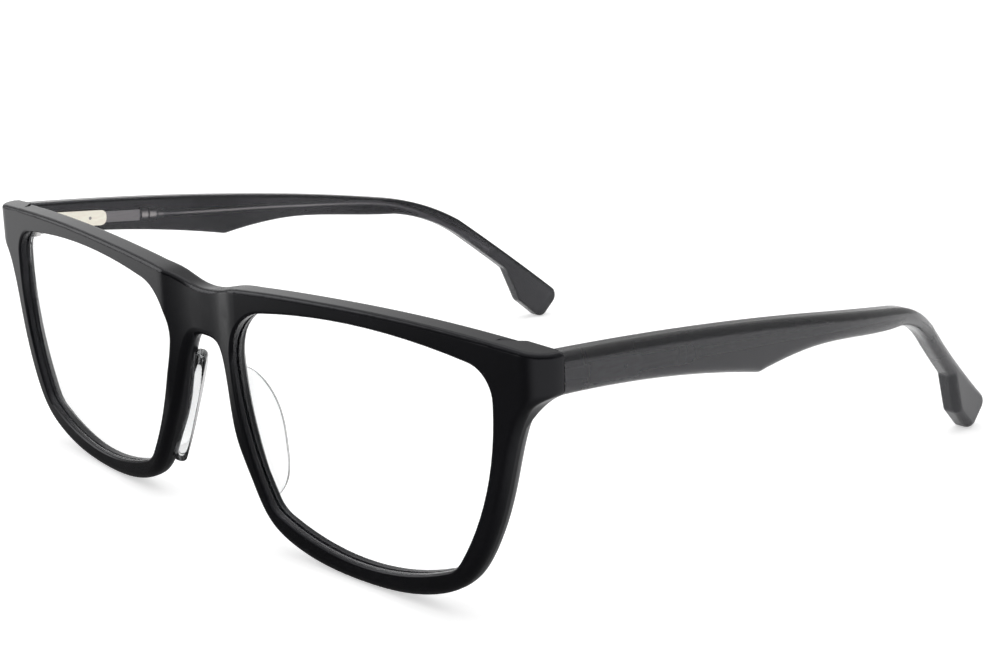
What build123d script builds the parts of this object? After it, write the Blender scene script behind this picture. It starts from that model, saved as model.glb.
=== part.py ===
from build123d import *
from math import cos, radians, sin, tan
import os

# Full-rim acetate eyeglasses frame with spring hinges and wire-cored temples.
# Millimetres and degrees. +Z is up, the front faces -Y and the temples run to +Y.
# X = 0 is the plane of symmetry, and the wearer's left side is at +X.

# Front: driving dimensions
front_tilt = 1.2  # the top of the front leans to -Y
front_wrap = 4.7  # each half of the front turns back by this much
front_y = -65.378  # where the lens groove crosses the bridge, at floor height
front_half_width = 70.9
front_height = 41.45  # at the end pieces
rim_thickness = 4.3
ridge_x = 9.2  # where a rim's front face ends at the bridge
ridge_depth = -1.9  # front face at the ridge, measured back from the groove
bridge_front_depth = -0.9
bridge_back_depth = 2.8
brow_edge_radius = 0.7  # along the top of the front face
front_edge_radius = 1.3  # along the rest of it
back_edge_radius = 2.2
brow_back_radius = 1.0  # along the top of the back
end_corner_radius = 4.2  # outer corners of the front, seen from above
end_piece_x = 64.6  # the square-backed end pieces begin here
end_piece_floor = 35.2
end_piece_fade = 3.0  # over which a square back runs out into the rounded edge

# Lens and its seat
lens_centre_x = 35.3
lens_centre_height = 21.2
lens_arcs = (  # centre and radius of the top, outer, lower and inner edges
    (3.2, -125.5, 143.9),
    (-15.87, 10.29, 42.82),
    (-0.43, 27.56, 45.86),
    (21.82, 13.01, 48.86),
)
lens_corner_radius = 5.0
lens_nasal_radius = 8.5  # its upper corner beside the nose
lip_round = 0.5
rear_chamfer = 0.85
groove_depth = 0.5
bevel_height = 0.42
lens_gap = 0.06
lens_thickness = 1.7
lens_curve_radius = 300.0

# Hinge: one vertical screw axis on each side
hinge_x = 65.9
hinge_y = front_y + 8.15
hinge_height = 37.9
barrel_radius = 1.25
barrel_height = 1.4
eye_height = 1.5
washer_thickness = 0.2
washer_radius = 1.2
hinge_play = 0.03
running_fit = 0.05
screw_fit = 0.02
screw_radius = 0.6
screw_head_radius = 0.95
screw_head_height = 0.5
screw_slot_width = 0.3
screw_slot_depth = 0.25
leaf_width = 2.0
anchor_width = 4.0
anchor_height = 5.4
anchor_front_y = front_y + 4.9
anchor_back_y = front_y + 6.05

# Temple
temple_thickness = 3.6
temple_outer_radius = 1.35
temple_inner_radius = 0.6
butt_gap = 0.12
temple_slope = 5.0  # the hinge parts and the core run down by this much
temple_toe_in = 1.3  # and inwards by this much

# Spring hinge housing, in the temple's inner face, measured from the screw axis
rod_x = 68.2
rod_radius = 0.45
arm_start = 1.3
arm_end = 3.5
arm_height = 1.3
housing_start = 4.1
housing_end = 14.8
housing_height = 2.9
housing_inner = -1.3
housing_outer = 1.5
housing_corner_radius = 1.2
bore_radius = 0.95
bore_end = 12.5
shoulder_length = 1.1
nut_start = 9.2
nut_length = 1.0
flex_travel = 0.8
pin_start = 11.3
pin_radius = 0.3
spring_wire_radius = 0.12
spring_mean_radius = 0.7
spring_turns = 6
neck_width = 1.0  # the slot that the plunger's arm passes through
neck_height = 2.0

# Temple outline, measured from the groove line: back along Y, then up
brow_start = (4.0, 41.45)
brow_middle = (46.0, 37.85)
bend_start = (90.5, 31.55)
bend_end = (107.5, 25.0)
tip_top = (134.6, 4.6)
tip_floor = (129.3, -0.6835)
paddle_low = (123.0, 4.4)
paddle_start = (119.2, 12.4)
under_bend_end = (107.6, 21.4)
under_bend_start = (92.0, 28.0)
step_point = (50.0, 29.42)
under_middle = (30.8, 32.97)
under_start = (4.0, 35.5)

# Core of the temple, measured from the screw axis
core_inset = 0.25
shank_height = 2.1
shank_thickness = 1.6
shank_end = 22.4
bead_radii = (1.35, 1.3, 0.85)
bead_centres = (23.6, 25.4, 27.2)
bead_lengths = (1.4, 1.5, 1.2)
bead_thickness = 1.9
wire_radius = 0.6

# Nose pad
pad_thickness = 2.2
pad_splay = 45.0
pad_edge_radius = 0.95

tilt = radians(front_tilt)
wrap = radians(front_wrap)
slope = radians(temple_slope)
front_up = Vector(0, -sin(tilt), cos(tilt))
front_back = Vector(0, cos(tilt), sin(tilt))
rim_normal = front_back * cos(wrap) - Vector(1, 0, 0) * sin(wrap)
rim_across = Vector(1, 0, 0) * cos(wrap) + front_back * sin(wrap)
front_plane = Plane(origin=(0, front_y, 0), x_dir=(1, 0, 0), z_dir=-front_back)
plan_plane = Plane(origin=(0, front_y, 0), x_dir=(1, 0, 0), z_dir=front_up)
toe_in = radians(temple_toe_in)
rod_direction = Vector(-sin(toe_in) * cos(slope), cos(toe_in) * cos(slope), -sin(slope))
rod_side = Vector(cos(toe_in), sin(toe_in), 0)
rod_plane = Plane(origin=(rod_x, hinge_y, hinge_height), x_dir=rod_side, z_dir=rod_direction)
washer_centre = eye_height / 2 + hinge_play + washer_thickness / 2
barrel_centre = eye_height / 2 + 2 * hinge_play + washer_thickness + barrel_height / 2
hinge_top = hinge_height + barrel_centre + barrel_height / 2


def rim_depth(x):
    """Depth of a rim's front face behind the groove line, at |x|."""
    return ridge_depth + (x - ridge_x) * tan(wrap)


def front_point(x, height, depth):
    """World point from front coordinates: sideways, up the front and back."""
    return Vector(x, front_y, 0) + front_up * height + front_back * depth


def rim_plane(x, height, depth):
    """A plane parallel to the left rim and facing forwards, depth behind its front face."""
    place = front_point(x, height, rim_depth(x)) + rim_normal * depth
    return Plane(origin=place, x_dir=rim_across, z_dir=-rim_normal)


def lens_plane(depth=-ridge_depth):
    """The left lens groove's plane, or one at another depth behind the front face."""
    return rim_plane(lens_centre_x, lens_centre_height, depth)


def lens_profile(plane, grow=0.0):
    """The lens outline about its centre: four large arcs with rounded corners."""
    with BuildSketch(plane) as sketch:
        Rectangle(100, 100)
        for centre_x, centre_y, radius in lens_arcs:
            with Locations((centre_x, centre_y)):
                Circle(radius + grow, mode=Mode.INTERSECT)
        nasal = sketch.vertices().sort_by_distance((-30, 20))[0]
        fillet([v for v in sketch.vertices() if v != nasal], lens_corner_radius + grow)
        fillet(sketch.vertices().sort_by_distance(nasal.center())[0], lens_nasal_radius + grow)
    return sketch


def edge_ridge(height):
    """A solid of the lens outline whose edge comes to a V, height deep and twice that wide."""
    with BuildPart() as ridge:
        for side in (-1, 1):
            crest = lens_profile(lens_plane(), height)
            foot = lens_profile(lens_plane(-ridge_depth + side * height))
            loft([crest.sketch.face(), foot.sketch.face()], ruled=True)
    return ridge


def mirrored(source):
    """The same piece for the wearer's right side."""
    with BuildPart() as twin:
        mirror(source.part, about=Plane.YZ)
    return twin


def front_outline(plane):
    """Outer outline of the front, from the left half's points."""
    rim_points = (
        (0, 31.0),
        (3.2, 30.3),
        (5.0, 27.6),
        (8.0, 17.4),
        (11.7, 10.0),
        (15.6, 4.4),
        (21.5, 1.5),
        (35.0, -0.0262),
        (50.5, 2.3),
        (56.4, 5.6),
        (60.3, 11.0),
        (64.2, 22.0),
        (66.2, 29.8),
        (68.2, 33.7),
        (front_half_width + 1, 35.95),
    )
    brow_points = (
        (front_half_width + 1, front_height),
        (62.0, 41.95),
        (44.0, 42.2),
        (27.0, 41.7),
        (12.0, 40.8),
        (8.0, 40.3),
        (4.0, 39.3),
        (0, 38.85),
    )
    left_rim = [(-x, height) for x, height in reversed(rim_points[1:])]
    left_brow = [(-x, height) for x, height in reversed(brow_points[:-1])]
    with BuildSketch(plane) as sketch:
        with BuildLine():
            Spline(*left_rim, *rim_points)
            Line(rim_points[-1], brow_points[0])
            Spline(*brow_points, *left_brow)
            Line(left_brow[-1], left_rim[0])
        make_face()
    return sketch


def front_slab():
    """The bent sheet that the front is cut from, seen from above."""
    end_x = front_half_width
    valley = ((ridge_x + 1.2, rim_depth(ridge_x + 1.2)), (ridge_x - 0.6, ridge_depth + 0.15),
              (5.4, bridge_front_depth - 0.1), (0, bridge_front_depth))
    hollow = [(-x, depth) for x, depth in reversed(valley[:-1])]
    left_end = (-end_x, rim_depth(end_x))
    right_end = (end_x, rim_depth(end_x))
    back_bend = (ridge_x + 4, rim_depth(ridge_x + 4) + rim_thickness)
    with BuildSketch(plan_plane.offset(-3)) as sketch:
        with BuildLine():
            Line(right_end, valley[0])
            Spline(*valley, *hollow, tangents=((-1, -tan(wrap)), (-1, tan(wrap))))
            Line(hollow[-1], left_end)
            Line(left_end, (-end_x, rim_depth(end_x) + rim_thickness))
            Line((-end_x, rim_depth(end_x) + rim_thickness), (-back_bend[0], back_bend[1]))
            ThreePointArc((-back_bend[0], back_bend[1]), (0, bridge_back_depth), back_bend)
            Line(back_bend, (end_x, rim_depth(end_x) + rim_thickness))
            Line((end_x, rim_depth(end_x) + rim_thickness), right_end)
        make_face()
        for corner in (left_end, right_end):
            fillet(sketch.vertices().sort_by_distance(corner)[0], end_corner_radius)
    return sketch


def opening_edges(front, at_back):
    """Edges of the two lens openings where they meet one face of the rims."""
    seat = lens_plane()
    lip = lens_profile(seat).sketch.face().outer_wire()
    chosen = []
    for edge in front.edges():
        middle = edge.center()
        local = seat.to_local_coords(Vector(abs(middle.X), middle.Y, middle.Z))
        on_lip = lip.distance_to(seat.from_local_coords(Vector(local.X, local.Y, 0))) < 0.1
        if on_lip and abs(local.Z) > 1.2 and (local.Z < 0) == at_back:
            chosen.append(edge)
    return chosen


def outline_edges(body, at_back, at_brow):
    """Edges where the brow or the lower outline meets the front or the back of the slab."""
    chosen = []
    for face in body.faces():
        normal = face.normal_at(face.center())
        if abs(normal.dot(front_back)) > 0.1 or face.geom_type == GeomType.PLANE:
            continue
        for edge in face.edges():
            middle = edge.center() - Vector(0, front_y, 0)
            half_way = rim_depth(max(abs(middle.X), ridge_x + rim_thickness)) + rim_thickness / 2
            at_end = abs(middle.X) > front_half_width - end_corner_radius
            behind = middle.dot(front_back) > half_way
            across = abs((edge @ 1 - edge @ 0).normalized().dot(front_back)) > 0.9
            if across and not at_end:
                continue
            if (behind and not at_end) == at_back and (middle.Z > 37) == at_brow:
                chosen.append(edge)
    return chosen


def end_spaces():
    """The space of the end pieces, whose backs stay square for the temples to meet."""
    back = rim_depth(end_piece_x) + rim_thickness
    fade_start = back - end_piece_fade
    across = end_piece_x - end_piece_fade
    below = end_piece_floor - end_piece_fade * 2
    with BuildPart() as spaces:
        with BuildSketch(plan_plane.offset(20)):
            Polygon((across, -8), (90, -8), (90, 20), (end_piece_x, 20), (end_piece_x, back),
                    (across, fade_start), align=None)
        extrude(amount=40)
        with BuildSketch(Plane(origin=(40, front_y, 0), x_dir=front_back, z_dir=(1, 0, 0))):
            Polygon((-8, below), (fade_start, below), (back + 0.5, end_piece_floor),
                    (20, end_piece_floor), (20, 60), (-8, 60), align=None)
        extrude(amount=60, mode=Mode.INTERSECT)
        mirror(about=Plane.YZ)
    return spaces


def shoulder_cutter():
    """What rounds the top of an end piece into the temple's rounded outer edge."""
    seam = Plane(origin=(0, front_y + 8.5, 0), x_dir=(1, 0, 0), z_dir=(0, -1, 0))
    corner = (front_half_width - temple_outer_radius, front_height - 0.2 - temple_outer_radius)
    with BuildPart() as cutter:
        with BuildSketch(seam):
            with Locations(corner):
                Rectangle(5, 5, align=(Align.MIN, Align.MIN))
                Circle(temple_outer_radius, mode=Mode.SUBTRACT)
        extrude(amount=7, dir=(0.18, -1, 0.18))
        mirror(about=Plane.YZ)
    return cutter


def front_blank():
    """The front before its lens openings are cut, with its outer edges rounded."""
    slab = front_slab()
    outline = front_outline(front_plane.offset(-15))
    spaces = end_spaces().part
    with BuildPart() as sheet:
        extrude(slab.sketch, amount=front_height + 6)
        extrude(outline.sketch, amount=30, mode=Mode.INTERSECT)
        fillet(outline_edges(sheet, at_back=False, at_brow=True), brow_edge_radius)
        fillet(outline_edges(sheet, at_back=False, at_brow=False), front_edge_radius)
    with BuildPart() as ends:
        add(sheet.part)
        add(spaces, mode=Mode.INTERSECT)
        add(shoulder_cutter().part, mode=Mode.SUBTRACT)
    with BuildPart() as blank:
        add(sheet.part)
        add(spaces, mode=Mode.SUBTRACT)
        fillet(outline_edges(blank, at_back=True, at_brow=True), brow_back_radius)
        fillet(outline_edges(blank, at_back=True, at_brow=False), back_edge_radius)
        add(ends.part)
    return blank


def make_front():
    """The acetate front: two rims, the bridge and the end pieces in one piece."""
    opening = lens_profile(lens_plane(-3))
    groove = edge_ridge(groove_depth).part
    with BuildPart() as front:
        add(front_blank().part)
        through = extrude(opening.sketch, amount=-rim_thickness - 6, mode=Mode.PRIVATE)
        add(through, mode=Mode.SUBTRACT)
        add(through.mirror(Plane.YZ), mode=Mode.SUBTRACT)
        fillet(opening_edges(front, at_back=False), lip_round)
        chamfer(opening_edges(front, at_back=True), rear_chamfer)
        add(groove, mode=Mode.SUBTRACT)
        add(groove.mirror(Plane.YZ), mode=Mode.SUBTRACT)
        pocket_y = (anchor_front_y + hinge_y) / 2
        with Locations((hinge_x, pocket_y, hinge_height), (-hinge_x, pocket_y, hinge_height)):
            Box(anchor_width, hinge_y - anchor_front_y, anchor_height, mode=Mode.SUBTRACT)
    return front


def make_lens():
    """A plain lens of slight curve with a bevelled edge that sits in the groove."""
    plane = lens_plane()
    blank = lens_profile(lens_plane(-2), -lens_gap)
    bevel = edge_ridge(bevel_height).part
    inside = lens_profile(lens_plane(-2), -1.4)
    edge_reach = 23.0
    sag = edge_reach**2 / (2 * lens_curve_radius)
    centre = plane.origin - plane.z_dir * (lens_curve_radius - sag - lens_thickness / 2)
    with BuildPart() as dome:
        extrude(blank.sketch, amount=-8)
        with Locations(centre):
            Sphere(lens_curve_radius, mode=Mode.INTERSECT)
            Sphere(lens_curve_radius - lens_thickness, mode=Mode.SUBTRACT)
    with BuildPart() as lens:
        add(bevel)
        extrude(inside.sketch, amount=-8, mode=Mode.SUBTRACT)
        add(dome.part)
    return lens


def make_nose_pad(front):
    """A clear acetate pad, glued to the back of the left rim beside the nose."""
    down = (front_point(12.0, 10.0, 0) - front_point(5.4, 26.5, 0)).normalized()
    sideways = down.cross(front_back).normalized()
    back = front_back * cos(radians(pad_splay)) + sideways * sin(radians(pad_splay))
    root = front_point(8.5, 20.0, bridge_back_depth)
    pad_plane = Plane(origin=root, x_dir=back, z_dir=back.cross(-down))
    heights = ((-1.5, 7.7), (1.3, 6.8), (3.6, 3.1), (4.35, -2.4), (3.9, -6.5), (2.5, -11.6), (-1.5, -14.2))
    with BuildPart() as pad:
        with BuildSketch(pad_plane.offset(-pad_thickness / 2)):
            with BuildLine():
                Spline(*heights)
                Line(heights[-1], heights[0])
            make_face()
        extrude(amount=pad_thickness)
        rims = [e for e in pad.edges() if e.geom_type == GeomType.BSPLINE]
        fillet(rims, pad_edge_radius)
        add(front.part, mode=Mode.SUBTRACT)
    return pad


def make_hinge_leaf():
    """The front half of the hinge: an anchor plate with two barrels."""
    anchor_depth = anchor_back_y - anchor_front_y
    finger_y = (anchor_back_y + hinge_y) / 2
    with BuildPart() as leaf:
        with Locations((hinge_x, (anchor_front_y + anchor_back_y) / 2, hinge_height)):
            Box(anchor_width, anchor_depth, anchor_height)
        for side in (-1, 1):
            with Locations((hinge_x, hinge_y, hinge_height + side * barrel_centre)):
                Cylinder(barrel_radius, barrel_height)
            with Locations((hinge_x, finger_y, hinge_height + side * barrel_centre)):
                Box(leaf_width, hinge_y - anchor_back_y, barrel_height)
        with Locations((hinge_x, hinge_y, hinge_height)):
            Cylinder(screw_radius + screw_fit, 3 * anchor_height, mode=Mode.SUBTRACT)
        with Locations((hinge_x, hinge_y, hinge_top - screw_head_height / 2)):
            Cylinder(screw_head_radius + screw_fit, screw_head_height, mode=Mode.SUBTRACT)
    return leaf


def make_screw():
    """Hinge screw with a slotted cheese head sunk in the upper barrel."""
    shank_length = 2 * (hinge_top - hinge_height) - screw_head_height
    with BuildPart() as screw:
        with Locations((hinge_x, hinge_y, hinge_top - screw_head_height - shank_length / 2)):
            Cylinder(screw_radius, shank_length)
        with Locations((hinge_x, hinge_y, hinge_top - screw_head_height / 2)):
            Cylinder(screw_head_radius, screw_head_height)
        with Locations((hinge_x, hinge_y, hinge_top)):
            Box(3, screw_slot_width, 2 * screw_slot_depth, mode=Mode.SUBTRACT)
    return screw


def make_washers():
    """Two nylon washers, one each side of the plunger's eye."""
    with BuildPart() as washers:
        for side in (-1, 1):
            with Locations((hinge_x, hinge_y, hinge_height + side * washer_centre)):
                Cylinder(washer_radius, washer_thickness)
        with Locations((hinge_x, hinge_y, hinge_height)):
            Cylinder(screw_radius + running_fit, 3 * anchor_height, mode=Mode.SUBTRACT)
    return washers


def make_plunger():
    """The sprung half of the hinge: an eye on the screw, an arm and a rod."""
    arm_left = hinge_x - barrel_radius - rod_x
    arm_right = rod_radius + 0.15
    with BuildPart() as plunger:
        with Locations((hinge_x, hinge_y, hinge_height)):
            Cylinder(barrel_radius, eye_height)
        with Locations((hinge_x, hinge_y + arm_start / 2 + 0.2, hinge_height)):
            Box(2 * barrel_radius, arm_start + 0.4, arm_height)
        with BuildSketch(rod_plane.offset(arm_start)):
            with Locations(((arm_left + arm_right) / 2, 0)):
                Rectangle(arm_right - arm_left, arm_height)
        extrude(amount=arm_end - arm_start)
        with BuildSketch(rod_plane.offset(arm_end - 0.5)):
            Circle(rod_radius)
        extrude(amount=nut_start + nut_length - arm_end + 0.5)
        with Locations((hinge_x, hinge_y, hinge_height)):
            Cylinder(screw_radius + running_fit, 3 * anchor_height, mode=Mode.SUBTRACT)
    return plunger


def make_nut():
    """Stop nut on the end of the plunger's rod, which the spring bears on."""
    with BuildPart() as nut:
        with BuildSketch(rod_plane.offset(nut_start)):
            Circle(bore_radius - running_fit)
            Circle(rod_radius, mode=Mode.SUBTRACT)
        extrude(amount=nut_length)
    return nut


def make_spring():
    """The spring round the rod, at the length it is squeezed to by a full flex."""
    start = housing_start + shoulder_length + 1.2 * spring_wire_radius
    length = nut_start - flex_travel - start - 1.2 * spring_wire_radius
    coil = rod_plane.offset(start).location * Helix(length / spring_turns, length, spring_mean_radius)
    with BuildPart() as spring:
        with BuildSketch(Plane(origin=coil @ 0, z_dir=coil % 0)):
            Circle(spring_wire_radius)
        sweep(path=coil)
    return spring


def make_pin():
    """Cross pin that keeps the plunger in the housing, flush with its inner face."""
    start = rod_plane.offset(pin_start).from_local_coords(Vector(housing_inner, 0, 0))
    with BuildPart() as pin:
        with BuildSketch(Plane(origin=start, x_dir=rod_direction, z_dir=rod_side)):
            Circle(pin_radius)
        extrude(amount=housing_outer - housing_inner)
    return pin


def housing_block():
    """Outer block of the spring housing, with rounded rear corners."""
    with BuildPart() as block:
        with BuildSketch(rod_plane.offset(housing_start)):
            with Locations(((housing_outer + housing_inner) / 2, 0)):
                Rectangle(housing_outer - housing_inner, housing_height)
        extrude(amount=housing_end - housing_start)
        end_plane = rod_plane.offset(housing_end)
        corners = [e for e in block.edges() if abs(end_plane.to_local_coords(e.center()).Z) < 0.01
                   and abs(end_plane.to_local_coords(e.center()).Y) > 1.0]
        fillet(corners, housing_corner_radius)
    return block


def make_housing():
    """The spring box, let into the temple's inner face."""
    with BuildPart() as housing:
        add(housing_block().part)
        with BuildSketch(rod_plane.offset(housing_start)):
            Circle(rod_radius + running_fit)
        extrude(amount=shoulder_length + 1, mode=Mode.SUBTRACT)
        with BuildSketch(rod_plane.offset(housing_start + shoulder_length)):
            Circle(bore_radius)
        extrude(amount=bore_end - housing_start - shoulder_length, mode=Mode.SUBTRACT)
        add(make_pin().part, mode=Mode.SUBTRACT)
    return housing


def make_core():
    """Metal core of the temple: flat shank, three beads and the long wire."""
    core_plane = Plane(origin=rod_plane.from_local_coords(Vector(core_inset, 0, 0)),
                       x_dir=rod_side, z_dir=rod_direction)
    wire_start = core_plane.offset(bead_centres[2]).origin
    wire_points = (
        (67.05, front_y + 58.0, 33.6),
        (66.1, front_y + 78.0, 31.8),
        (63.8, front_y + 93.0, 29.6),
        (61.0, front_y + 105.0, 24.3),
        (58.3, front_y + 115.0, 17.4),
    )
    with BuildPart() as core:
        with BuildLine() as route:
            Spline(wire_start, *wire_points)
        with BuildSketch(Plane(origin=route.line @ 0, z_dir=route.line % 0)):
            Circle(wire_radius)
        sweep(path=route.line)
        with BuildSketch(core_plane.offset(housing_end)):
            Rectangle(shank_thickness, shank_height)
        extrude(amount=shank_end - housing_end)
        with BuildSketch(core_plane.offset(shank_end)):
            Circle(wire_radius)
        extrude(amount=bead_centres[2] - shank_end)
        for centre, radius, length in zip(bead_centres, bead_radii, bead_lengths):
            with BuildSketch(core_plane.offset(centre - length / 2)):
                Ellipse(min(radius, bead_thickness / 2), radius)
            extrude(amount=length)
    return core


def temple_side(plane):
    """Side outline of the temple, from the hinge to the tip."""
    with BuildSketch(plane) as sketch:
        with BuildLine():
            brow = ThreePointArc(brow_start, brow_middle, bend_start)
            TangentArc(bend_start, bend_end, tangent=brow % 1)
            Polyline(bend_end, tip_top, tip_floor, paddle_low, paddle_start, under_bend_end)
            TangentArc(under_bend_end, under_bend_start, tangent=(-0.80, 0.60))
            Spline(under_bend_start, (78.0, 29.45), (66.0, 30.55), (57.0, 30.25), step_point)
            ThreePointArc(step_point, under_middle, under_start)
            Line(under_start, brow_start)
        make_face()
        for corner, radius in ((tip_top, 2.2), (tip_floor, 2.0), (paddle_low, 2.0),
                               (paddle_start, 2.0), (step_point, 2.5)):
            fillet(sketch.vertices().sort_by_distance(corner)[0], radius)
    return sketch


def temple_plan(plane):
    """The temple seen from above: straight, then bent inwards behind the ear."""
    with BuildSketch(plane) as sketch:
        with BuildLine():
            run = Line((front_half_width + 0.075, 3.0), (69.5, 66.0))
            bend = TangentArc(run @ 1, (63.5, 104.0), tangent=run % 1)
            end = TangentArc(bend @ 1, (58.1, 136.0), tangent=bend % 1)
            Line(end @ 1, end @ 1 + (end % 1) * 5)
            offset(amount=temple_thickness, side=Side.LEFT)
        make_face()
    return sketch


def temple_middle(y):
    """X of the middle of the temple's thickness, roughly, at a world y."""
    back = y - front_y
    return 69.2 - 0.0235 * (back - 3) - 0.0035 * max(0, back - 66)**2 + 0.0074 * max(0, back - 104)**2


def temple_edges(temple, butt_plane, outside):
    """The long edges round the temple's outer or inner face."""
    chosen = []
    for edge in temple.edges():
        middle = edge.center()
        across = abs((edge @ 1 - edge @ 0).normalized().dot(rod_side))
        at_butt = abs(butt_plane.to_local_coords(middle).Z) < 0.05
        beside = middle.X - temple_middle(middle.Y)
        if across < 0.7 and not at_butt and abs(beside) > 1.2 and (beside > 0) == outside:
            chosen.append(edge)
    return chosen


def make_temple(core):
    """The acetate side, hollowed for its core, the spring housing and the plunger's arm."""
    side = temple_side(Plane(origin=(45, front_y, 0), x_dir=(0, 1, 0), z_dir=(1, 0, 0)))
    plan = temple_plan(Plane(origin=(0, front_y, -5)))
    slab_back = rim_depth(front_half_width) + rim_thickness + butt_gap
    butt_point = front_point(front_half_width, hinge_height, slab_back)
    butt_plane = Plane(origin=butt_point, x_dir=rim_across, z_dir=rim_normal)
    with BuildPart() as temple:
        extrude(side.sketch, amount=30)
        extrude(plan.sketch, amount=60, mode=Mode.INTERSECT)
        split(bisect_by=butt_plane, keep=Keep.TOP)
        fillet(temple_edges(temple, butt_plane, outside=True), temple_outer_radius)
        fillet(temple_edges(temple, butt_plane, outside=False), temple_inner_radius)
        add(housing_block().part, mode=Mode.SUBTRACT)
        add(core.part, mode=Mode.SUBTRACT)
        with BuildSketch(rod_plane.offset(housing_start)):
            with Locations((neck_width - 5, 0)):
                Rectangle(10, neck_height)
        extrude(amount=-10, mode=Mode.SUBTRACT)
    return temple


os.makedirs("parts", exist_ok=True)
front_frame = make_front()
front_frame.part.label = "front_frame"
export_step(front_frame.part, "parts/front_frame.step")
core_wire = make_core()
left_pieces = {
    "lens": make_lens(),
    "nose_pad": make_nose_pad(front_frame),
    "hinge_front_leaf": make_hinge_leaf(),
    "hinge_screw": make_screw(),
    "hinge_washers": make_washers(),
    "spring_plunger": make_plunger(),
    "plunger_nut": make_nut(),
    "coil_spring": make_spring(),
    "retaining_pin": make_pin(),
    "spring_housing": make_housing(),
    "core_wire": core_wire,
    "temple": make_temple(core_wire),
}
for name, piece in left_pieces.items():
    twin = mirrored(piece)
    piece.part.label = name + "_left"
    twin.part.label = name + "_right"
    export_step(piece.part, "parts/" + name + "_left.step")
    export_step(twin.part, "parts/" + name + "_right.step")
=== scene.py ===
import math

import bpy
from bpy.props import FloatProperty, FloatVectorProperty, PointerProperty
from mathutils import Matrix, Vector

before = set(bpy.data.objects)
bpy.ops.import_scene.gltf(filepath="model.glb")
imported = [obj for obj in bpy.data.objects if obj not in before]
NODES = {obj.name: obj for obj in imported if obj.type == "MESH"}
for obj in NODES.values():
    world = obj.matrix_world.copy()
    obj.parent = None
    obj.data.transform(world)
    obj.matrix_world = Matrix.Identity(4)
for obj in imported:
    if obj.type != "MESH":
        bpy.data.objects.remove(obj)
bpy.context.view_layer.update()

bl_info = {
    "name": "Acetate Eyeglasses",
    "version": (1, 0, 0),
    "blender": (4, 5, 0),
    "location": "View3D > Sidebar > Eyeglasses",
    "description": "Finishes a spring-hinged acetate eyeglasses frame and sets it on a plain white table",
    "category": "Object",
}

SIDES = ("left", "right")

# optics of the pieces
ACETATE_INDEX = 1.48
SMOKE_INDEX = 1.6
FRONT_GLOSS = 0.31
FRONT_SHEEN = (0.95, 0.95, 1.0, 1.0)
TEMPLE_SHEEN = (0.94, 0.94, 1.0, 1.0)
PAD_GREY = (0.20, 0.21, 0.22, 1.0)
CLEAR_SHADOW = (0.93, 0.94, 0.94, 1.0)
WHITE = (1.0, 1.0, 1.0, 1.0)

# camera, in metres and degrees
CAMERA_PLACE = (0.22578, -0.21895, 0.10546)
CAMERA_TURN = 46.36
CAMERA_TIP = 15.29

# the dark card that lies before the frame and shows in reflections alone: its soft edges, in metres
CARD_LEFT = (-0.20, -0.02)
CARD_RIGHT = (0.06, 0.13)
CARD_BACK = (-0.075, 0.0)
TABLE_SIZE = 12.0
TABLE_TOP = -0.0001
TABLE_GLOW = 0.55
MIRRORED_GLOW = 0.7

# the white room: where its brightness rises, by direction, and how bright it is there
ROOM_BEHIND = (-0.25, 0.45, 0.048, 0.64)
ROOM_FAR_SIDE = (-0.92, -0.62, 1.7, 0.75)
ROOM_ABOVE = (0.15, 0.85, 0.0, 0.76)


# ---------------------------------------------------------------- settings

class FrontSettings(bpy.types.PropertyGroup):
    """Sizes and colours of the black acetate front"""

    colour: FloatVectorProperty(
        name="Colour", description="Colour of the front's acetate", subtype="COLOR",
        size=3, min=0.0, max=1.0, default=(0.0034, 0.0036, 0.005))
    roughness: FloatProperty(
        name="Roughness", description="How dull the tumbled acetate is", min=0.0, max=1.0, default=0.25)
    haze: FloatProperty(
        name="Haze", description="How much the polish varies over the front", min=0.0, max=0.5, default=0.07)
    ripple: FloatProperty(
        name="Ripple", description="Depth of the hand-polished ripple", unit="LENGTH",
        min=0.0, max=0.001, default=0.00002)


class TempleSettings(bpy.types.PropertyGroup):
    """Colours of the two temples"""

    colour: FloatVectorProperty(
        name="Colour", description="Colour of light that comes through the temples' acetate", subtype="COLOR",
        size=3, min=0.0, max=1.0, default=(0.0, 0.0, 0.07))
    depth: FloatProperty(
        name="Darkness", description="How fast the acetate swallows light, per metre",
        min=0.0, max=5000.0, default=2100.0)
    roughness: FloatProperty(
        name="Roughness", description="How dull the temples' polish is", min=0.0, max=1.0, default=0.19)
    haze: FloatProperty(
        name="Haze", description="How much the polish varies along the temples",
        min=0.0, max=0.5, default=0.08)


class ClearSettings(bpy.types.PropertyGroup):
    """The clear pieces: lenses and nose pads"""

    lens_index: FloatProperty(
        name="Lens index", description="How strongly the coated lenses bend and reflect light",
        min=1.0, max=2.0, default=1.32)
    lens_seat: FloatProperty(
        name="Lens seat", description="How far the lens is pressed into its groove, so no gap shows",
        unit="LENGTH", min=0.0, max=0.0003, default=0.00012)
    pad_index: FloatProperty(
        name="Pad index", description="How strongly the clear nose pads bend light",
        min=1.0, max=2.0, default=1.47)
    pad_depth: FloatProperty(
        name="Pad darkness", description="How fast the pads' acetate swallows light, per metre",
        min=0.0, max=1000.0, default=60.0)
    pad_roughness: FloatProperty(
        name="Pad roughness", description="Tumbled haze of the nose pads", min=0.0, max=1.0, default=0.03)


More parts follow.
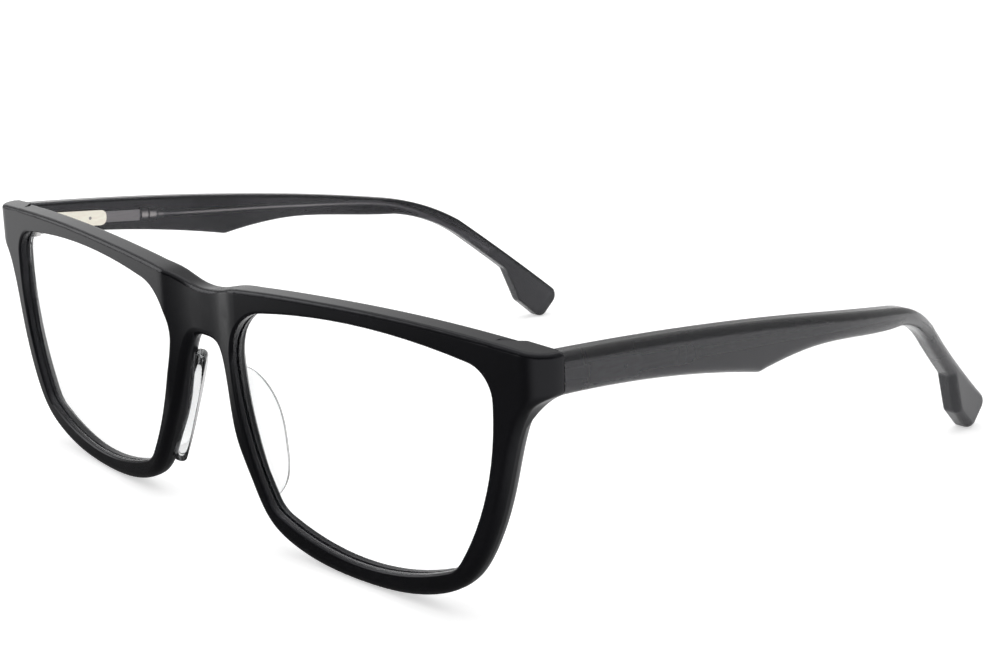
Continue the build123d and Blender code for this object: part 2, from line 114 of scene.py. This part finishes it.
class MetalSettings(bpy.types.PropertyGroup):
    """The hinge metals and the temples' cores"""

    housing_colour: FloatVectorProperty(
        name="Housing colour", description="Pale gold plating of the spring housings", subtype="COLOR",
        size=3, min=0.0, max=1.0, default=(1.0, 0.93, 0.81))
    steel_colour: FloatVectorProperty(
        name="Steel colour", description="Colour of screws, leaves and plungers", subtype="COLOR",
        size=3, min=0.0, max=1.0, default=(0.62, 0.61, 0.60))
    core_colour: FloatVectorProperty(
        name="Core colour", description="Nickel silver of the temples' cores", subtype="COLOR",
        size=3, min=0.0, max=1.0, default=(0.96, 0.90, 0.82))
    proud: FloatProperty(
        name="Proud", description="How far metal stands into the acetate round it, so the joint is closed",
        unit="LENGTH", min=0.0, max=0.0001, default=0.00003)


class StudioSettings(bpy.types.PropertyGroup):
    """Table, lamps and camera"""

    lens: FloatProperty(
        name="Lens", description="Focal length of the camera, in millimetres",
        min=10.0, max=300.0, default=64.79)
    side_power: FloatProperty(
        name="Side lamp", description="Power of the large lamp beside the front", unit="POWER",
        min=0.0, max=100.0, default=1.1)
    top_power: FloatProperty(
        name="Top lamp", description="Power of the lamp over the table", unit="POWER",
        min=0.0, max=100.0, default=2.2)
    flag: FloatProperty(
        name="Dark card", description="How much light a dark card before the frame leaves in its reflections",
        min=0.0, max=1.0, default=0.13)
    table_grey: FloatProperty(
        name="Table", description="How pale the table is", min=0.0, max=1.0, default=0.8)


# ---------------------------------------------------------------- materials

def new_material(name):
    """An empty node material with its output and Principled shader."""
    material = bpy.data.materials.new(name)
    material.use_nodes = True
    tree = material.node_tree
    tree.nodes.clear()
    output = tree.nodes.new("ShaderNodeOutputMaterial")
    shader = tree.nodes.new("ShaderNodeBsdfPrincipled")
    tree.links.new(shader.outputs["BSDF"], output.inputs["Surface"])
    return material, tree, shader, output


def new_group(name, inputs, outputs):
    """A shader node group with named float inputs and outputs."""
    group = bpy.data.node_groups.new(name, "ShaderNodeTree")
    for label, kind, default in inputs:
        socket = group.interface.new_socket(name=label, in_out="INPUT", socket_type=kind)
        if default is not None:
            socket.default_value = default
    for label, kind in outputs:
        group.interface.new_socket(name=label, in_out="OUTPUT", socket_type=kind)
    entry = group.nodes.new("NodeGroupInput")
    leave = group.nodes.new("NodeGroupOutput")
    return group, entry, leave


def maths(tree, operation, first, second, third=None):
    """A math node on two or three numbers or outputs."""
    node = tree.nodes.new("ShaderNodeMath")
    node.operation = operation
    for socket, value in zip(node.inputs, (first, second, third)):
        if isinstance(value, bpy.types.NodeSocket):
            tree.links.new(value, socket)
        elif value is not None:
            socket.default_value = value
    return node.outputs[0]


def smooth_step(tree, source, start, end, low, high):
    """A soft rise or fall from low to high while the source goes from start to end."""
    step = tree.nodes.new("ShaderNodeMapRange")
    step.interpolation_type = "SMOOTHSTEP"
    for label, value in (("From Min", start), ("From Max", end), ("To Min", low), ("To Max", high)):
        step.inputs[label].default_value = value
    tree.links.new(source, step.inputs["Value"])
    return step.outputs["Result"]


def place_axes(tree, coordinates):
    """The three axes of one kind of texture coordinate."""
    place = tree.nodes.new("ShaderNodeTexCoord")
    split = tree.nodes.new("ShaderNodeSeparateXYZ")
    tree.links.new(place.outputs[coordinates], split.inputs["Vector"])
    return split.outputs


def swallow_light(tree, output, colour, depth):
    """Makes a see-through piece darker where light goes further through it."""
    absorb = tree.nodes.new("ShaderNodeVolumeAbsorption")
    absorb.inputs["Color"].default_value = colour
    absorb.inputs["Density"].default_value = depth
    tree.links.new(absorb.outputs["Volume"], output.inputs["Volume"])


def polish_group():
    """Uneven hand polish: a cloudy haze, fine hairline marks and specks, as roughness and height."""
    name = "Hand polish"
    if name in bpy.data.node_groups:
        return bpy.data.node_groups[name]
    group, entry, leave = new_group(
        name,
        [("Roughness", "NodeSocketFloat", 0.3), ("Haze", "NodeSocketFloat", 0.05),
         ("Cloud size", "NodeSocketFloat", 90.0), ("Grain size", "NodeSocketFloat", 2600.0),
         ("Marks", "NodeSocketFloat", 0.25)],
        [("Roughness", "NodeSocketFloat"), ("Height", "NodeSocketFloat"), ("Cloud", "NodeSocketFloat")])
    nodes, links = group.nodes, group.links
    place = nodes.new("ShaderNodeTexCoord")
    cloud = nodes.new("ShaderNodeTexNoise")
    cloud.inputs["Detail"].default_value = 4.0
    links.new(place.outputs["Object"], cloud.inputs["Vector"])
    links.new(entry.outputs["Cloud size"], cloud.inputs["Scale"])
    stretch = nodes.new("ShaderNodeMapping")
    stretch.inputs["Scale"].default_value = (1.0, 0.12, 1.0)
    stretch.inputs["Rotation"].default_value = (0.3, 0.2, 0.5)
    links.new(place.outputs["Object"], stretch.inputs["Vector"])
    grain = nodes.new("ShaderNodeTexNoise")
    grain.inputs["Detail"].default_value = 2.0
    links.new(stretch.outputs["Vector"], grain.inputs["Vector"])
    links.new(entry.outputs["Grain size"], grain.inputs["Scale"])
    centred = maths(group, "SUBTRACT", cloud.outputs["Fac"], 0.5)
    fine = maths(group, "SUBTRACT", grain.outputs["Fac"], 0.5)
    marked = maths(group, "MULTIPLY", fine, entry.outputs["Marks"])
    both = maths(group, "ADD", centred, marked)
    rough = maths(group, "MULTIPLY_ADD", both, entry.outputs["Haze"], entry.outputs["Roughness"])
    links.new(rough, leave.inputs["Roughness"])
    links.new(both, leave.inputs["Height"])
    links.new(cloud.outputs["Fac"], leave.inputs["Cloud"])
    return group


def brushed_group():
    """Drawn or turned metal: fine lines along one direction, as roughness, height and tone."""
    name = "Drawn metal"
    if name in bpy.data.node_groups:
        return bpy.data.node_groups[name]
    group, entry, leave = new_group(
        name,
        [("Along", "NodeSocketVector", (1.0, 1.0, 1.0)), ("Line size", "NodeSocketFloat", 3000.0),
         ("Low", "NodeSocketFloat", 0.2), ("High", "NodeSocketFloat", 0.4)],
        [("Roughness", "NodeSocketFloat"), ("Height", "NodeSocketFloat"), ("Tone", "NodeSocketFloat")])
    nodes, links = group.nodes, group.links
    place = nodes.new("ShaderNodeTexCoord")
    stretch = nodes.new("ShaderNodeVectorMath")
    stretch.operation = "MULTIPLY"
    links.new(place.outputs["Object"], stretch.inputs[0])
    links.new(entry.outputs["Along"], stretch.inputs[1])
    lines = nodes.new("ShaderNodeTexNoise")
    lines.inputs["Detail"].default_value = 3.0
    links.new(stretch.outputs["Vector"], lines.inputs["Vector"])
    links.new(entry.outputs["Line size"], lines.inputs["Scale"])
    spread = nodes.new("ShaderNodeMapRange")
    links.new(lines.outputs["Fac"], spread.inputs["Value"])
    links.new(entry.outputs["Low"], spread.inputs["To Min"])
    links.new(entry.outputs["High"], spread.inputs["To Max"])
    links.new(spread.outputs["Result"], leave.inputs["Roughness"])
    links.new(lines.outputs["Fac"], leave.inputs["Height"])
    links.new(lines.outputs["Fac"], leave.inputs["Tone"])
    return group


def place_group(tree, group, **values):
    """Puts a node group in a material, with its own values."""
    node = tree.nodes.new("ShaderNodeGroup")
    node.node_tree = group
    for label, value in values.items():
        node.inputs[label.replace("_", " ")].default_value = value
    return node


def add_bump(tree, shader, source, distance, strength=1.0):
    """Bump from a height output, into the shader's normal."""
    bump = tree.nodes.new("ShaderNodeBump")
    bump.inputs["Distance"].default_value = distance
    bump.inputs["Strength"].default_value = strength
    tree.links.new(source, bump.inputs["Height"])
    tree.links.new(bump.outputs["Normal"], shader.inputs["Normal"])


def tone_mix(tree, shader, mask, dark, light, low=0.35, high=0.65):
    """Base colour that drifts between two tones by a mask."""
    ramp = tree.nodes.new("ShaderNodeValToRGB")
    ramp.color_ramp.elements[0].position = low
    ramp.color_ramp.elements[0].color = (*dark, 1.0)
    ramp.color_ramp.elements[1].position = high
    ramp.color_ramp.elements[1].color = (*light, 1.0)
    tree.links.new(mask, ramp.inputs["Fac"])
    tree.links.new(ramp.outputs["Color"], shader.inputs["Base Color"])


def black_acetate(settings):
    """Polished black cellulose acetate."""
    material, tree, shader, _ = new_material("Black acetate")
    polish = place_group(tree, polish_group(), Roughness=settings.roughness, Haze=settings.haze,
                         Cloud_size=70.0, Grain_size=1400.0, Marks=0.2)
    tree.links.new(polish.outputs["Roughness"], shader.inputs["Roughness"])
    add_bump(tree, shader, polish.outputs["Height"], settings.ripple, 0.5)
    deep = settings.colour
    tone_mix(tree, shader, polish.outputs["Cloud"], [c * 0.8 for c in deep], [c * 1.3 for c in deep])
    shader.inputs["IOR"].default_value = ACETATE_INDEX
    shader.inputs["Specular IOR Level"].default_value = FRONT_GLOSS
    shader.inputs["Specular Tint"].default_value = FRONT_SHEEN
    return material


def smoke_acetate(settings):
    """Dark see-through acetate that swallows light with depth."""
    material, tree, shader, output = new_material("Smoke acetate")
    polish = place_group(tree, polish_group(), Roughness=settings.roughness, Haze=settings.haze,
                         Cloud_size=60.0, Grain_size=900.0, Marks=0.12)
    tree.links.new(polish.outputs["Roughness"], shader.inputs["Roughness"])
    add_bump(tree, shader, polish.outputs["Height"], 0.00001, 0.3)
    tone_mix(tree, shader, polish.outputs["Cloud"], (0.86, 0.86, 0.88), (0.96, 0.96, 0.97))
    shader.inputs["IOR"].default_value = SMOKE_INDEX
    shader.inputs["Specular Tint"].default_value = TEMPLE_SHEEN
    shader.inputs["Transmission Weight"].default_value = 1.0
    swallow_light(tree, output, (*settings.colour, 1.0), settings.depth)
    return material


def let_shadows_through(tree, shader, output):
    """Clear pieces barely shade the table: shadow rays pass through them."""
    path = tree.nodes.new("ShaderNodeLightPath")
    clear = tree.nodes.new("ShaderNodeBsdfTransparent")
    clear.inputs["Color"].default_value = CLEAR_SHADOW
    mix = tree.nodes.new("ShaderNodeMixShader")
    tree.links.new(path.outputs["Is Shadow Ray"], mix.inputs["Fac"])
    tree.links.new(shader.outputs["BSDF"], mix.inputs[1])
    tree.links.new(clear.outputs["BSDF"], mix.inputs[2])
    tree.links.new(mix.outputs["Shader"], output.inputs["Surface"])


def lens_plastic(settings):
    """Clear moulded lens, wiped almost clean."""
    material, tree, shader, output = new_material("Lens plastic")
    polish = place_group(tree, polish_group(), Roughness=0.0, Haze=0.012,
                         Cloud_size=45.0, Grain_size=1500.0, Marks=0.3)
    tree.links.new(polish.outputs["Roughness"], shader.inputs["Roughness"])
    tone_mix(tree, shader, polish.outputs["Cloud"], (0.985, 0.99, 0.99), (1.0, 1.0, 1.0))
    shader.inputs["IOR"].default_value = settings.lens_index
    shader.inputs["Transmission Weight"].default_value = 1.0
    let_shadows_through(tree, shader, output)
    return material


def pad_acetate(settings):
    """Clear tumbled acetate of the nose pads, with painted shade along its rounded edges where they turn away
    from the eye.
    """
    material, tree, shader, output = new_material("Pad acetate")
    polish = place_group(tree, polish_group(), Roughness=settings.pad_roughness, Haze=0.05,
                         Cloud_size=180.0, Grain_size=2600.0, Marks=0.4)
    tree.links.new(polish.outputs["Roughness"], shader.inputs["Roughness"])
    add_bump(tree, shader, polish.outputs["Height"], 0.00001, 0.3)
    painted_edge_shade = tree.nodes.new("ShaderNodeLayerWeight")
    # painted shade: the pads' base colour goes near black where the surface turns away from the eye, standing
    # in for the dark lines that bent light draws at their edges
    tone_mix(tree, shader, painted_edge_shade.outputs["Facing"], (0.985, 0.99, 0.99), (0.03, 0.03, 0.035), 0.50, 0.85)
    shader.inputs["IOR"].default_value = settings.pad_index
    shader.inputs["Transmission Weight"].default_value = 1.0
    swallow_light(tree, output, PAD_GREY, settings.pad_depth)
    let_shadows_through(tree, shader, output)
    return material


def metal(name, colour, along, low, high, line_size=3000.0, height=0.000004):
    """A drawn or turned metal with lines along one direction."""
    material, tree, shader, _ = new_material(name)
    lines = place_group(tree, brushed_group(), Along=along, Line_size=line_size, Low=low, High=high)
    tree.links.new(lines.outputs["Roughness"], shader.inputs["Roughness"])
    add_bump(tree, shader, lines.outputs["Height"], height, 0.4)
    dark = [c * 0.93 for c in colour]
    light = [min(1.0, c * 1.05) for c in colour]
    tone_mix(tree, shader, lines.outputs["Tone"], dark, light)
    shader.inputs["Metallic"].default_value = 1.0
    return material


def nylon():
    """Pale moulded nylon of the hinge washers."""
    material, tree, shader, _ = new_material("Washer nylon")
    polish = place_group(tree, polish_group(), Roughness=0.5, Haze=0.1,
                         Cloud_size=900.0, Grain_size=5000.0, Marks=0.3)
    tree.links.new(polish.outputs["Roughness"], shader.inputs["Roughness"])
    add_bump(tree, shader, polish.outputs["Height"], 0.00001, 0.3)
    tone_mix(tree, shader, polish.outputs["Cloud"], (0.70, 0.70, 0.67), (0.80, 0.80, 0.78))
    return material


def dress(node_name, material):
    """Gives a CAD node its finish."""
    node = NODES[node_name]
    node.data.materials.clear()
    node.data.materials.append(material)
    return node


def stand_proud(node, distance):
    """Closes the joint between a piece and the acetate that holds it."""
    swell = node.modifiers.new("Stand proud", "DISPLACE")
    swell.mid_level = 0.0
    swell.strength = distance


# ---------------------------------------------------------------- pieces

class EYEGLASSES_OT_front(bpy.types.Operator):
    """Polish the black acetate front"""

    bl_idname = "eyeglasses.front"
    bl_label = "Front"

    def execute(self, context):
        dress("front_frame", black_acetate(context.scene.eyeglasses_front))
        return {"FINISHED"}


class EYEGLASSES_OT_lenses(bpy.types.Operator):
    """Clear the two lenses"""

    bl_idname = "eyeglasses.lenses"
    bl_label = "Lenses"

    def execute(self, context):
        material = lens_plastic(context.scene.eyeglasses_clear)
        for side in SIDES:
            stand_proud(dress("lens_" + side, material), context.scene.eyeglasses_clear.lens_seat)
        return {"FINISHED"}


class EYEGLASSES_OT_pads(bpy.types.Operator):
    """Finish the two clear nose pads"""

    bl_idname = "eyeglasses.pads"
    bl_label = "Nose pads"

    def execute(self, context):
        material = pad_acetate(context.scene.eyeglasses_clear)
        for side in SIDES:
            dress("nose_pad_" + side, material)
        return {"FINISHED"}


class EYEGLASSES_OT_temples(bpy.types.Operator):
    """Finish the two smoky acetate temples"""

    bl_idname = "eyeglasses.temples"
    bl_label = "Temples"

    def execute(self, context):
        material = smoke_acetate(context.scene.eyeglasses_temples)
        for side in SIDES:
            dress("temple_" + side, material)
        return {"FINISHED"}


class EYEGLASSES_OT_cores(bpy.types.Operator):
    """Finish the metal cores inside the temples"""

    bl_idname = "eyeglasses.cores"
    bl_label = "Temple cores"

    def execute(self, context):
        settings = context.scene.eyeglasses_metal
        material = metal("Core nickel silver", settings.core_colour, (1.0, 0.06, 1.0), 0.22, 0.42, 2600.0)
        for side in SIDES:
            stand_proud(dress("core_wire_" + side, material), settings.proud)
        return {"FINISHED"}


class EYEGLASSES_OT_housings(bpy.types.Operator):
    """Plate the two spring housings"""

    bl_idname = "eyeglasses.housings"
    bl_label = "Spring housings"

    def execute(self, context):
        settings = context.scene.eyeglasses_metal
        material = metal("Pale gold plating", settings.housing_colour, (1.0, 0.2, 1.0), 0.28, 0.42, 2200.0)
        for side in SIDES:
            stand_proud(dress("spring_housing_" + side, material), settings.proud)
        return {"FINISHED"}


class EYEGLASSES_OT_hinges(bpy.types.Operator):
    """Finish the hinge leaves, screws, plungers, nuts, springs, pins and washers"""

    bl_idname = "eyeglasses.hinges"
    bl_label = "Hinges"

    def execute(self, context):
        settings = context.scene.eyeglasses_metal
        steel = settings.steel_colour
        leaf = metal("Milled steel", steel, (0.3, 1.0, 1.0), 0.22, 0.38)
        turned = metal("Turned steel", [c * 1.1 for c in steel], (1.0, 1.0, 0.1), 0.14, 0.28)
        wire = metal("Spring wire", [c * 0.8 for c in steel], (1.0, 0.3, 1.0), 0.2, 0.35)
        pin = metal("Pin steel", [c * 0.55 for c in steel], (0.2, 1.0, 1.0), 0.25, 0.4)
        washer = nylon()
        for side in SIDES:
            dress("hinge_front_leaf_" + side, leaf)
            dress("spring_plunger_" + side, leaf)
            dress("hinge_screw_" + side, turned)
            dress("plunger_nut_" + side, turned)
            dress("coil_spring_" + side, wire)
            dress("retaining_pin_" + side, pin)
            dress("hinge_washers_" + side, washer)
        return {"FINISHED"}


# ---------------------------------------------------------------- studio

def aim(thing, target):
    """Turns a lamp towards a point."""
    thing.rotation_euler = (Vector(target) - thing.location).to_track_quat("-Z", "Y").to_euler()


def lamp(name, place, target, width, height, power):
    """A soft box."""
    light = bpy.data.lights.new(name, "AREA")
    light.shape = "RECTANGLE"
    light.size = width
    light.size_y = height
    light.energy = power
    holder = bpy.data.objects.new(name, light)
    holder.location = place
    aim(holder, target)
    bpy.context.collection.objects.link(holder)


def table_material(settings):
    """White table that keeps shadows, with a dark card on it that only reflections show."""
    material = bpy.data.materials.new("White table")
    material.use_nodes = True
    tree = material.node_tree
    tree.nodes.clear()
    output = tree.nodes.new("ShaderNodeOutputMaterial")
    matt = tree.nodes.new("ShaderNodeBsdfDiffuse")
    glow = tree.nodes.new("ShaderNodeEmission")
    path = tree.nodes.new("ShaderNodeLightPath").outputs
    axes = place_axes(tree, "Object")
    beside = maths(tree, "MAXIMUM", smooth_step(tree, axes["X"], *CARD_LEFT, 1.0, settings.flag),
                   smooth_step(tree, axes["X"], *CARD_RIGHT, settings.flag, 1.0))
    bare = maths(tree, "MAXIMUM", beside, smooth_step(tree, axes["Y"], *CARD_BACK, settings.flag, 1.0))
    not_through = maths(tree, "SUBTRACT", 1.0, path["Is Transmission Ray"])
    bounced = maths(tree, "MULTIPLY", path["Is Glossy Ray"], not_through)
    carded = maths(tree, "MULTIPLY", bounced, maths(tree, "SUBTRACT", 1.0, bare))
    grey = maths(tree, "MULTIPLY", maths(tree, "SUBTRACT", 1.0, carded), settings.table_grey)
    tree.links.new(grey, matt.inputs["Color"])
    seen = maths(tree, "MAXIMUM", path["Is Camera Ray"], path["Is Transmission Ray"])
    mirrored = maths(tree, "MULTIPLY", maths(tree, "MULTIPLY", path["Is Glossy Ray"], MIRRORED_GLOW), bare)
    level = maths(tree, "MAXIMUM", seen, mirrored)
    tree.links.new(maths(tree, "MULTIPLY", level, TABLE_GLOW), glow.inputs["Strength"])
    both = tree.nodes.new("ShaderNodeAddShader")
    tree.links.new(matt.outputs["BSDF"], both.inputs[0])
    tree.links.new(glow.outputs["Emission"], both.inputs[1])
    tree.links.new(both.outputs["Shader"], output.inputs["Surface"])
    return material


def studio_world():
    """White room: plain white to the eye, and darker before the frame in the light that it gives."""
    world = bpy.data.worlds.new("White room")
    world.use_nodes = True
    tree = world.node_tree
    tree.nodes.clear()
    output = tree.nodes.new("ShaderNodeOutputWorld")
    back = tree.nodes.new("ShaderNodeBackground")
    back.inputs["Color"].default_value = WHITE
    tree.links.new(back.outputs["Background"], output.inputs["Surface"])
    axes = place_axes(tree, "Generated")
    behind = maths(tree, "MULTIPLY", smooth_step(tree, axes["Y"], *ROOM_BEHIND),
                   smooth_step(tree, axes["X"], *ROOM_FAR_SIDE))
    room = maths(tree, "MAXIMUM", behind, smooth_step(tree, axes["Z"], *ROOM_ABOVE))
    path = tree.nodes.new("ShaderNodeLightPath").outputs
    seen = maths(tree, "MAXIMUM", path["Is Camera Ray"], path["Is Transmission Ray"])
    unseen_room = maths(tree, "MULTIPLY", room, maths(tree, "SUBTRACT", 1.0, seen))
    tree.links.new(maths(tree, "MAXIMUM", unseen_room, seen), back.inputs["Strength"])
    bpy.context.scene.world = world


def place_camera(scene, focal_length):
    """The camera, in front of the frame's left side and a little above it."""
    shot = bpy.data.cameras.new("camera")
    shot.sensor_width = 36.0
    shot.lens = focal_length
    shot.clip_start = 0.01
    shot.clip_end = 30.0
    camera = bpy.data.objects.new("camera", shot)
    camera.location = CAMERA_PLACE
    turn, tip = math.radians(CAMERA_TURN), math.radians(CAMERA_TIP)
    forward = Vector((-math.sin(turn) * math.cos(tip), math.cos(turn) * math.cos(tip), -math.sin(tip)))
    camera.rotation_euler = forward.to_track_quat("-Z", "Y").to_euler()
    scene.collection.objects.link(camera)
    scene.camera = camera


class EYEGLASSES_OT_studio(bpy.types.Operator):
    """Set the table, the lamps, the white room and the camera"""

    bl_idname = "eyeglasses.studio"
    bl_label = "Studio"

    def execute(self, context):
        settings = context.scene.eyeglasses_studio
        bpy.ops.mesh.primitive_plane_add(size=TABLE_SIZE, location=(0.0, 0.0, TABLE_TOP))
        table = context.object
        table.name = "white_table"
        table.data.materials.append(table_material(settings))
        studio_world()
        lamp("side_lamp", place=(-0.55, -0.35, 0.30), target=(-0.02, -0.05, 0.02),
             width=0.35, height=0.45, power=settings.side_power)
        lamp("top_lamp", place=(-0.10, 0.10, 0.85), target=(0.0, 0.0, 0.0),
             width=0.9, height=0.9, power=settings.top_power)
        place_camera(context.scene, settings.lens)
        context.scene.view_settings.view_transform = "Standard"
        return {"FINISHED"}


class EYEGLASSES_PT_panel(bpy.types.Panel):
    """Eyeglasses pieces and their settings"""

    bl_idname = "EYEGLASSES_PT_panel"
    bl_label = "Eyeglasses"
    bl_space_type = "VIEW_3D"
    bl_region_type = "UI"
    bl_category = "Eyeglasses"

    def draw(self, context):
        for operator in OPERATORS:
            self.layout.operator(operator.bl_idname)
        for attribute, group in SETTINGS:
            box = self.layout.box()
            box.label(text=group.__doc__)
            for prop in group.__annotations__:
                box.prop(getattr(context.scene, attribute), prop)


OPERATORS = (
    EYEGLASSES_OT_studio,
    EYEGLASSES_OT_front,
    EYEGLASSES_OT_lenses,
    EYEGLASSES_OT_pads,
    EYEGLASSES_OT_temples,
    EYEGLASSES_OT_cores,
    EYEGLASSES_OT_housings,
    EYEGLASSES_OT_hinges,
)
SETTINGS = (
    ("eyeglasses_front", FrontSettings),
    ("eyeglasses_temples", TempleSettings),
    ("eyeglasses_clear", ClearSettings),
    ("eyeglasses_metal", MetalSettings),
    ("eyeglasses_studio", StudioSettings),
)


def register():
    for attribute, group in SETTINGS:
        bpy.utils.register_class(group)
        setattr(bpy.types.Scene, attribute, PointerProperty(type=group))
    for operator in OPERATORS:
        bpy.utils.register_class(operator)
    bpy.utils.register_class(EYEGLASSES_PT_panel)


def unregister():
    bpy.utils.unregister_class(EYEGLASSES_PT_panel)
    for operator in reversed(OPERATORS):
        bpy.utils.unregister_class(operator)
    for attribute, group in reversed(SETTINGS):
        delattr(bpy.types.Scene, attribute)
        bpy.utils.unregister_class(group)


def main():
    register()
    for operator in OPERATORS:
        family, piece = operator.bl_idname.split(".")
        getattr(getattr(bpy.ops, family), piece)()


if __name__ == "__main__":
    main()
